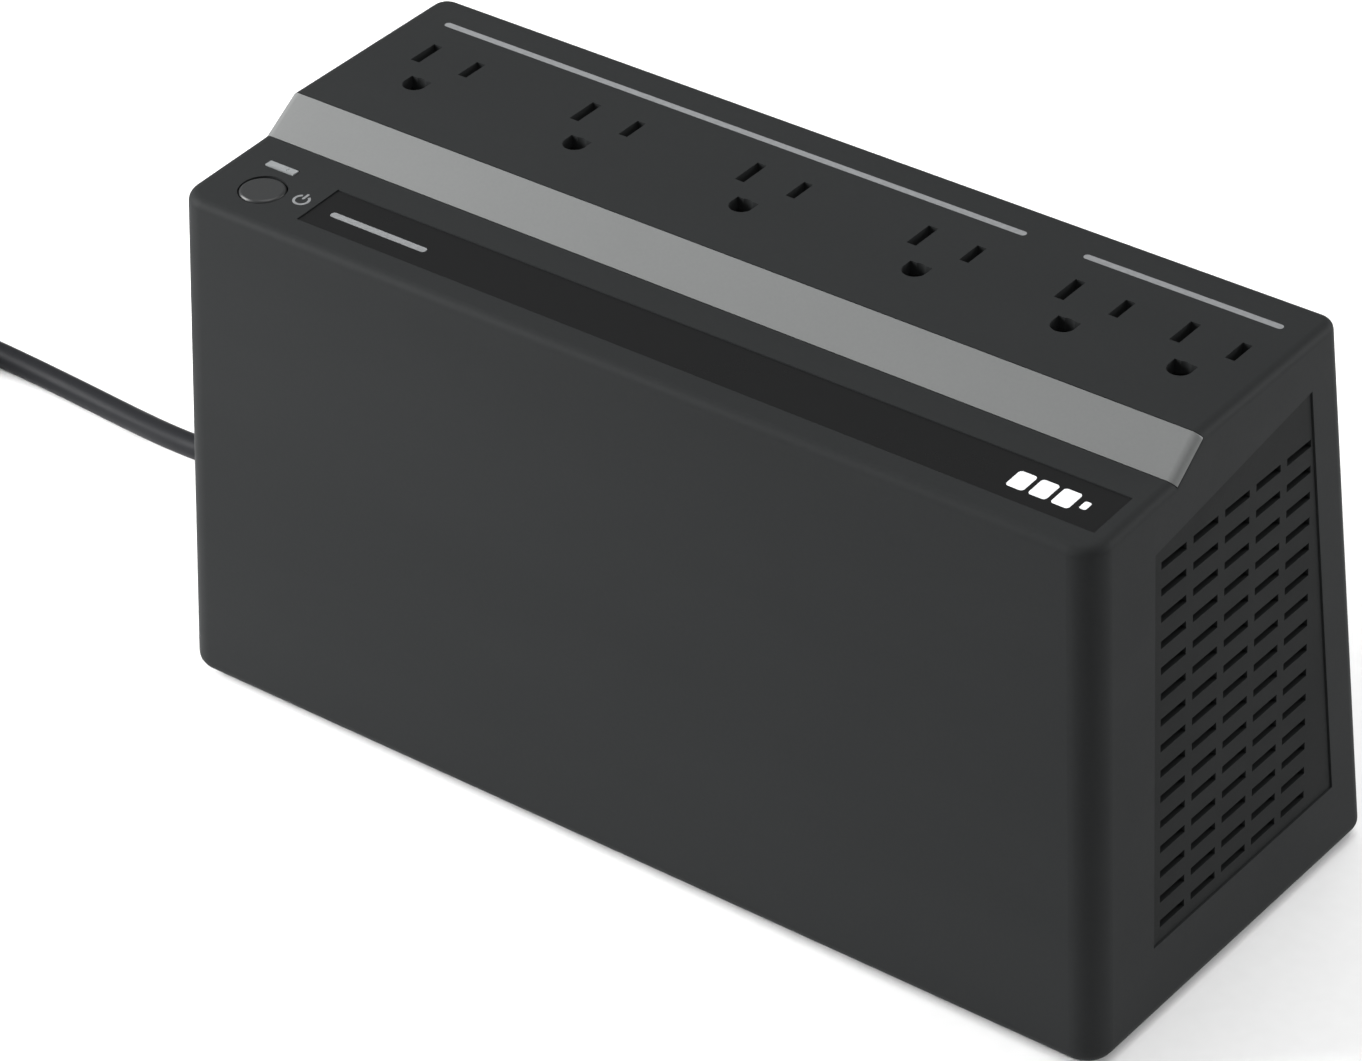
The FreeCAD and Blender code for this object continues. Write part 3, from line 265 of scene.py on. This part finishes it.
CHARCOAL = moulded("charcoal_plastic", (0.0194, 0.0204, 0.0207), (0.0226, 0.0237, 0.0241), rough=(0.42, 0.5),
                   specular=0.02)
VENT = moulded("vent_plastic", (0.0128, 0.0135, 0.0136), (0.0157, 0.0165, 0.0166), rough=(0.45, 0.55),
               specular=0.02)
SILVER = moulded("silver_plastic", (0.119, 0.1225, 0.1215), (0.133, 0.1365, 0.1355), rough=(0.38, 0.45),
                 grain=3400, grain_high=0.006, specular=0.2)
GLOSS = moulded("gloss_plastic", (0.0066, 0.0068, 0.007), (0.0074, 0.0076, 0.0078), rough=(0.27, 0.29),
                grain=900, grain_high=0.0004, specular=0.15)
BUTTON = moulded("button_plastic", (0.021, 0.022, 0.0224), (0.0248, 0.0258, 0.0263), rough=(0.3, 0.38),
                 grain_high=0.005, specular=0.3)
BLACK = moulded("black_plastic", (0.014, 0.014, 0.015), (0.02, 0.02, 0.021), rough=(0.4, 0.55))
RUBBER = moulded("rubber", (0.014, 0.014, 0.015), (0.022, 0.022, 0.023), rough=(0.6, 0.75), grain=1500,
                 grain_high=0.02, specular=0.35)
VINYL = moulded("cord_vinyl", (0.012, 0.0125, 0.014), (0.015, 0.0155, 0.017), rough=(0.38, 0.48), grain=1700,
                grain_high=0.008, specular=0.05)
FOAM = moulded("foam", (0.04, 0.04, 0.043), (0.07, 0.07, 0.074), rough=(0.8, 0.95), grain=1100,
               grain_high=0.25, specular=0.2)
BATTERY = moulded("battery_plastic", (0.07, 0.072, 0.076), (0.09, 0.092, 0.096), rough=(0.4, 0.5), grain=1900)
BATTERY_LID = moulded("battery_lid_plastic", (0.055, 0.057, 0.06), (0.07, 0.072, 0.075), rough=(0.42, 0.52))
RED_LEAD = moulded("red_vinyl", (0.36, 0.012, 0.01), (0.46, 0.02, 0.016), rough=(0.35, 0.45), grain=1700)
BLACK_LEAD = moulded("black_vinyl", (0.014, 0.014, 0.015), (0.02, 0.02, 0.021), rough=(0.35, 0.45),
                     grain=1700)
SLEEVE = moulded("sleeve_vinyl", (0.5, 0.44, 0.34), (0.6, 0.54, 0.44), rough=(0.25, 0.35), grain=1700)
FIBRE = moulded("fibre_sheet", (0.3, 0.25, 0.16), (0.4, 0.34, 0.24), rough=(0.6, 0.75), grain=1200)
RELAY = moulded("relay_plastic", (0.02, 0.045, 0.13), (0.028, 0.06, 0.17), rough=(0.28, 0.38))
VARISTOR = moulded("varistor_epoxy", (0.02, 0.06, 0.22), (0.03, 0.09, 0.3), rough=(0.25, 0.4), grain=500,
                   grain_high=0.05)
CAN = moulded("capacitor_sleeve", (0.03, 0.035, 0.07), (0.04, 0.05, 0.1), rough=(0.25, 0.35), grain=1200)
STEEL = metal("zinc_steel", (0.5, 0.5, 0.49), (0.68, 0.68, 0.67))
BRASS = metal("brass", (0.55, 0.38, 0.14), (0.78, 0.6, 0.28), rough=(0.2, 0.34))
NICKEL = metal("nickel_plate", (0.6, 0.57, 0.5), (0.78, 0.75, 0.68), rough=(0.14, 0.28), stretch=(0.12, 1, 1))
ALUMINIUM = metal("extruded_aluminium", (0.5, 0.51, 0.52), (0.68, 0.69, 0.7), stretch=(1, 1, 0.05), high=0.02)
CORE = layered("laminated_core", (0.05, 0.045, 0.04), (0.2, 0.19, 0.18), 0.9 * MM, "Y")
TAPE = tape("coil_tape")
BOARD = board("circuit_board")
FROSTED = lens("frosted_lens", (0.33, 0.345, 0.35), 0.3)
LAMP = lens("lamp_lens", (0.7, 0.9, 0.68), 0.2)
INK = printed_ink("light_ink", (0.19, 0.195, 0.20))
BADGE_INK = printed_ink("badge_ink", (0.78, 0.79, 0.8))

FINISH = {
    "case_housing": CHARCOAL, "base_plate": BLACK, "accent_strip": SILVER, "control_band": GLOSS,
    "left_vent_panel": VENT, "right_vent_panel": VENT, "power_button": BUTTON, "light_pipe": FROSTED,
    "switch_plunger": BLACK, "power_switch": BLACK, "status_led": LAMP, "control_board": BOARD,
    "outlet_carrier": BLACK, "neutral_bus": BRASS, "hot_bus_backup": BRASS, "hot_bus_surge": BRASS,
    "ground_bus": BRASS, "bus_insulator": FIBRE, "base_screws": STEEL, "carrier_screws": STEEL,
    "panel_screws": STEEL, "transformer_screws": STEEL, "rubber_feet": RUBBER, "battery_case": BATTERY,
    "battery_cover": BATTERY_LID, "battery_terminals": NICKEL, "battery_pads": FOAM,
    "battery_lead_plus": RED_LEAD, "battery_lead_minus": BLACK_LEAD, "lead_receptacles": SLEEVE,
    "transformer_core": CORE, "transformer_coil": TAPE, "transformer_frame": STEEL, "main_board": BOARD,
    "heat_sink": ALUMINIUM, "power_transistors": BLACK, "transfer_relays": RELAY, "filter_capacitors": CAN,
    "surge_varistors": VARISTOR, "alarm_buzzer": BLACK, "breaker_body": BLACK, "breaker_button": BUTTON,
    "cord_bushing": VINYL, "power_cord": VINYL, "cord_coil": VINYL, "cord_tail": VINYL, "coil_tie": BLACK,
    "plug_body": VINYL, "plug_blades": NICKEL, "plug_ground_pin": NICKEL,
}
for name, finish in FINISH.items():
    nodes[name].data.materials.clear()
    nodes[name].data.materials.append(finish)


# The mains cord

CORD_WIDE = 6 * MM
COIL_MIDDLE = (COIL_LOW + COIL_HIGH) / 2
COIL_X, COIL_Y = COIL_MIDDLE.x / MM, COIL_MIDDLE.y / MM
LOWER_TURNS, UPPER_TURNS = 3.5, 9.4
TURN_RADII = (44.5, 38.5, 32.5)
COIL_TURNS = 5.25
TURN_STEPS = ((0.83, 0.99), (0.83, 0.99), (0.67, 0.83), (0.51, 0.67), (0.35, 0.51), (0.8, 1.0))
POINTS_A_TURN = 24
START_ANGLE = 90
LEAD = [
    (BUSHING_LOW.x / MM - 0.25, 6.8, 10.45),
    (-166.0, 7.1, 9.9),
    (-182.0, 9.2, 7.5),
    (-200.0, 13.3, 4.5),
    (-221.0, 16.4, 3.1),
    (-241.0, 17.6, 3.1),
    (-258.0, 18.0, 3.2),
    (COIL_X + 17.8, COIL_Y + 44.5, 3.5),
]
TAIL = [
    (COIL_X - 44.5, COIL_Y + 2.0, 9.4),
    (COIL_X - 45.6, COIL_Y - 14.0, 8.9),
    (COIL_X - 45.0, COIL_Y - 31.0, 5.6),
    (COIL_X - 37.0, COIL_Y - 46.5, 3.2),
    (COIL_X - 23.0, COIL_Y - 57.5, 3.6),
    (COIL_X - 7.0, COIL_Y - 62.5, 7.0),
    (COIL_X + 7.0, COIL_Y - 63.5, 9.4),
    (COIL_X + 18.0, COIL_Y - 63.5, 10.2),
]


def coil_turns():
    """Three turns inward on the floor, then outward on top of them, each stepping clear of the last."""
    outward = TURN_RADII[::-1]
    rings = [(radius, LOWER_TURNS) for radius in TURN_RADII] + [(radius, UPPER_TURNS) for radius in outward]
    points = []
    for i in range(int(COIL_TURNS * POINTS_A_TURN) + 1):
        turn, share = divmod(i / POINTS_A_TURN, 1)
        here, following = rings[int(turn)], rings[min(int(turn) + 1, len(rings) - 1)]
        step_start, step_end = TURN_STEPS[int(turn)]
        part = min(max((share - step_start) / (step_end - step_start), 0), 1)
        part = part * part * (3 - 2 * part)
        radius = here[0] + (following[0] - here[0]) * part
        height = here[1] + (following[1] - here[1]) * part
        angle = math.radians(START_ANGLE + 360 * i / POINTS_A_TURN)
        points.append((COIL_X + radius * math.cos(angle), COIL_Y + radius * math.sin(angle), height))
    return points


def make_cord():
    points = LEAD + coil_turns()[:-1] + TAIL
    data = bpy.data.curves.new("mains_cord", "CURVE")
    data.dimensions = "3D"
    data.resolution_u = 6
    data.bevel_depth = CORD_WIDE / 2
    data.bevel_resolution = 7
    data.use_fill_caps = True
    spline = data.splines.new("NURBS")
    spline.points.add(len(points) - 1)
    for point, place in zip(spline.points, points):
        point.co = (*(Vector(place) * MM), 1)
    spline.order_u = 3
    spline.use_endpoint_u = True
    data.materials.append(VINYL)
    cord = bpy.data.objects.new("mains_cord", data)
    bpy.context.scene.collection.objects.link(cord)
    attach(cord, "case")
    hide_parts("power_cord", "cord_coil", "cord_tail")
    return cord


def rounded_bar(x, y, long, wide, radius, steps=6):
    """The outline of a bar with round corners, anticlockwise from its right side."""
    points = []
    for corner, (sx, sy) in enumerate(((1, 1), (-1, 1), (-1, -1), (1, -1))):
        middle = (x + sx * (long / 2 - radius), y + sy * (wide / 2 - radius))
        for i in range(steps + 1):
            angle = math.radians(90 * (corner + i / steps))
            points.append((middle[0] + radius * math.cos(angle), middle[1] + radius * math.sin(angle)))
    return points


SHARP = 35


def smooth(mesh):
    """Shades a mesh smooth apart from its sharp edges."""
    bmesh.ops.recalc_face_normals(mesh, faces=mesh.faces)
    for face in mesh.faces:
        face.smooth = True
    for edge in mesh.edges:
        if len(edge.link_faces) == 2 and edge.calc_face_angle() > math.radians(SHARP):
            edge.smooth = False


def add_piece(name, mesh, material):
    """A finished mesh as a piece of the case."""
    data = bpy.data.meshes.new(name)
    bmesh.ops.recalc_face_normals(mesh, faces=mesh.faces)
    mesh.to_mesh(data)
    mesh.free()
    data.materials.append(material)
    piece = bpy.data.objects.new(name, data)
    bpy.context.scene.collection.objects.link(piece)
    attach(piece, "case")
    return piece


def skin(rings, capped=True):
    """A skin over closed rings of points, each ring with the same count."""
    mesh = bmesh.new()
    loops = [[mesh.verts.new(Vector(point) * MM) for point in ring] for ring in rings]
    count = len(loops[0])
    pairs = list(zip(loops, loops[1:]))
    if not capped:
        pairs.append((loops[-1], loops[0]))
    for here, following in pairs:
        for i in range(count):
            j = (i + 1) % count
            mesh.faces.new((here[i], here[j], following[j], following[i]))
    if capped:
        mesh.faces.new(loops[0][::-1])
        mesh.faces.new(loops[-1])
    return mesh


def oval(x, y, z, half_wide, half_tall, squareness, count=72):
    """A ring across X between an ellipse, at squareness 2, and a round-cornered box at higher values."""
    ring = []
    for i in range(count):
        angle = 2 * math.pi * (i + 0.5) / count
        across, upward = math.cos(angle), math.sin(angle)
        reach = (abs(across) ** squareness + abs(upward) ** squareness) ** (-1 / squareness)
        ring.append((x, y + half_wide * reach * across, z + half_tall * reach * upward))
    return ring


# The plug, from its strain relief to its face

PLUG_START = PLUG_LOW.x / MM
PLUG_MIDDLE_Y = (PLUG_LOW.y + PLUG_HIGH.y) / 2 / MM
NECK_UP, BODY_UP = 10.2, 10.55


RIBS, RIB_PITCH, RIB_DEEP = 5, 2.8, 0.9
RIDGES, RIDGE_PITCH, RIDGE_HIGH, WAIST = 5, 2.1, 0.45, 0.5
GROOVE = (0.0, 0.35, 1.05, 1.4)


def make_plug():
    """A moulded plug: ribbed strain relief, a body waisted for the fingers with grip ridges, and a flange.

    Each ring is its distance along, half width, half height, middle height and squareness.
    """
    rings = [(0.0, 3.9, 3.9, NECK_UP, 2), (0.5, 4.4, 4.4, NECK_UP, 2)]
    for i in range(RIBS):
        start, radius = 1.6 + RIB_PITCH * i, 4.5 + 0.33 * i
        for along, wide in zip(GROOVE, (radius, radius - RIB_DEEP, radius - RIB_DEEP, radius + 0.1)):
            rings.append((start + along, wide, wide, NECK_UP, 2))
    rings += [(15.4, 6.3, 6.3, NECK_UP, 2.05), (16.6, 7.2, 6.6, 10.3, 2.2), (18.0, 9.0, 7.4, 10.4, 2.5),
              (19.6, 10.8, 8.3, 10.5, 2.9), (21.4, 11.9, 9.0, BODY_UP, 3.2)]
    for i in range(RIDGES):
        start = 23.0 + RIDGE_PITCH * i
        waist = WAIST * math.sin(math.pi * (i + 0.5) / RIDGES)
        for along, ridge in zip(GROOVE, (0.0, RIDGE_HIGH, RIDGE_HIGH, 0.0)):
            rings.append((start + along, 11.7 - waist + ridge, 9.3 - waist * 0.6, BODY_UP, 3.4))
    rings += [(34.2, 12.2, 9.7, BODY_UP, 3.6), (35.7, 12.8, 10.0, BODY_UP, 4),
              (36.1, 13.5, 10.3, BODY_UP, 4.4), (36.6, 13.9, 10.45, BODY_UP, 4.6),
              (39.4, 13.9, 10.45, BODY_UP, 4.6),
              (39.9, 13.6, 10.15, BODY_UP, 4.6), (40.0, 13.3, 9.9, BODY_UP, 4.6)]
    skins = [oval(PLUG_START + x, PLUG_MIDDLE_Y, z, wide, tall, square) for x, wide, tall, z, square in rings]
    mesh = skin(skins)
    smooth(mesh)
    piece = add_piece("plug", mesh, VINYL)
    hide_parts("plug_body")
    return piece


TIE_ACROSS, TIE_UP = COIL_X + 38.5, 6.55
TIE_LONG, TIE_TALL, TIE_HALF_WIDE, TIE_ROUND = 19.6, 13.0, 4.0, 3.6
TIE_THICK = 0.6
LAP_SIZE = Vector((9, 7.4, 0.8))


def make_tie():
    """A strap round the coil's turns, with its end lapped over on top."""
    outer = rounded_bar(TIE_ACROSS, TIE_UP, TIE_LONG, TIE_TALL, TIE_ROUND)
    inner = rounded_bar(TIE_ACROSS, TIE_UP, TIE_LONG - 2 * TIE_THICK, TIE_TALL - 2 * TIE_THICK,
                        TIE_ROUND - TIE_THICK)
    rings = []
    for outline, side in ((outer, -1), (outer, 1), (inner, 1), (inner, -1)):
        rings.append([(x, COIL_Y + side * TIE_HALF_WIDE, z) for x, z in outline])
    mesh = skin(rings, capped=False)
    lap_middle = Vector((TIE_ACROSS, COIL_Y, TIE_UP + TIE_TALL / 2 + 0.05))
    for vert in bmesh.ops.create_cube(mesh, size=1)["verts"]:
        vert.co = (lap_middle + vert.co * LAP_SIZE) * MM
    smooth(mesh)
    piece = add_piece("tie_strap", mesh, BLACK)
    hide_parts("coil_tie")
    return piece


cord = make_cord()
plug = make_plug()
tie = make_tie()


# Prints on the ledge and the deck

def surface_height(node, x, y):
    """How high the top of a CAD node is above a place, in metres."""
    hit, place, _, _ = nodes[node].ray_cast(Vector((x, y, CASE_HIGH.z + 0.05)), Vector((0, 0, -1)))
    if not hit:
        raise ValueError(f"{node} has nothing at {x:.4f}, {y:.4f}")
    return place.z


def arc_band(x, y, radius, wide, start, end, steps=40):
    """The outline of a curved band between two angles in degrees."""
    angles = [math.radians(start + (end - start) * i / steps) for i in range(steps + 1)]
    outer = [(x + (radius + wide / 2) * math.cos(a), y + (radius + wide / 2) * math.sin(a)) for a in angles]
    inner = [(x + (radius - wide / 2) * math.cos(a), y + (radius - wide / 2) * math.sin(a)) for a in angles]
    return outer + inner[::-1]


def print_on(name, node, outlines, ink, lift=0.03, sink=0.02):
    """Thin printed shapes that follow the top of a node. Outlines are in millimetres."""
    mesh = bmesh.new()
    for outline in outlines:
        top = []
        for x, y in outline:
            height = surface_height(node, x * MM, y * MM)
            top.append(mesh.verts.new((x * MM, y * MM, height + lift * MM)))
        bottom = [mesh.verts.new(v.co - Vector((0, 0, (lift + sink) * MM))) for v in top]
        mesh.faces.new(top)
        mesh.faces.new(bottom[::-1])
        for i in range(len(top)):
            j = (i + 1) % len(top)
            mesh.faces.new((top[j], top[i], bottom[i], bottom[j]))
    add_piece(name, mesh, ink)


DECK_LINE_Y = 27.4
BAR_WIDE, BAR_ROUND = 1.7, 0.8
BAND_BAR_Y = -40.3
STANDBY_X, STANDBY_Y = -93.1, -39.9
STANDBY_LINE = 0.6
BADGE_X, BADGE_Y, BADGE_PITCH = 91.5, -39.4, 5.3

print_on("deck_group_lines", "case_housing",
         [rounded_bar(-30.4, DECK_LINE_Y, 155.2, BAR_WIDE, BAR_ROUND),
          rounded_bar(85.6, DECK_LINE_Y, 48.0, BAR_WIDE, BAR_ROUND)],
         INK)
print_on("band_bar", "control_band", [rounded_bar(-71.5, BAND_BAR_Y, 26.0, BAR_WIDE, BAR_ROUND)],
         INK)
print_on("standby_mark", "case_housing",
         [arc_band(STANDBY_X, STANDBY_Y, 1.7, STANDBY_LINE, 120, 420),
          rounded_bar(STANDBY_X, STANDBY_Y + 1.4, STANDBY_LINE, 2.2, 0.29)],
         INK)
print_on("battery_badge", "control_band",
         [rounded_bar(BADGE_X + BADGE_PITCH * i, BADGE_Y, 4.2, 5.6, 0.8) for i in range(3)]
         + [rounded_bar(106.5, BADGE_Y, 1.6, 2.6, 0.5)],
         BADGE_INK)


# Floor and light

FLOOR_HALF = 4.0
FLOOR_DARK, FLOOR_LIGHT = (0.86, 0.86, 0.86), (0.88, 0.88, 0.88)


def make_floor():
    made, tree, surface = shader("floor_paper", specular=0.2)
    fibre = noise(tree, 240, detail=5)
    tree.links.new(blend_colours(tree, spread(tree, fibre, 0, 1), FLOOR_DARK, FLOOR_LIGHT),
                   surface.inputs["Base Color"])
    surface.inputs["Roughness"].default_value = 0.8
    data = bpy.data.meshes.new("floor")
    corners = [(x * FLOOR_HALF, y * FLOOR_HALF, 0) for x, y in ((-1, -1), (1, -1), (1, 1), (-1, 1))]
    data.from_pydata(corners, [], [(0, 1, 2, 3)])
    data.materials.append(made)
    floor = bpy.data.objects.new("floor", data)
    bpy.context.scene.collection.objects.link(floor)


def make_light(name, place, target, size, power, spread_angle):
    data = bpy.data.lights.new(name, "AREA")
    data.shape = "RECTANGLE"
    data.size, data.size_y = size
    data.energy = power
    data.spread = math.radians(spread_angle)
    light = bpy.data.objects.new(name, data)
    bpy.context.scene.collection.objects.link(light)
    light.location = place
    light.rotation_euler = (Vector(target) - Vector(place)).to_track_quat("-Z", "Y").to_euler()


# Each light's name, place, target, size, power in watts and spread in degrees
LIGHTS = (
    ("left", (-0.72, -0.46, 0.4), (-0.16, -0.05, 0.08), (0.6, 0.6), 5.6, 90),
    ("right", (0.95, 1.1, 0.45), (0.1, 0, 0.06), (0.9, 0.8), 19, 180),
    ("top", (0.25, 0.1, 1.7), (0.1, 0, 0), (1.8, 1.2), 21, 180),
)
WORLD_STRENGTH = 0.3

make_floor()
world = bpy.data.worlds.new("studio")
world.use_nodes = True
background = world.node_tree.nodes["Background"]
background.inputs["Color"].default_value = (1, 1, 1, 1)
background.inputs["Strength"].default_value = WORLD_STRENGTH
bpy.context.scene.world = world
bpy.context.scene.view_settings.view_transform = "Standard"
for light in LIGHTS:
    make_light(*light)
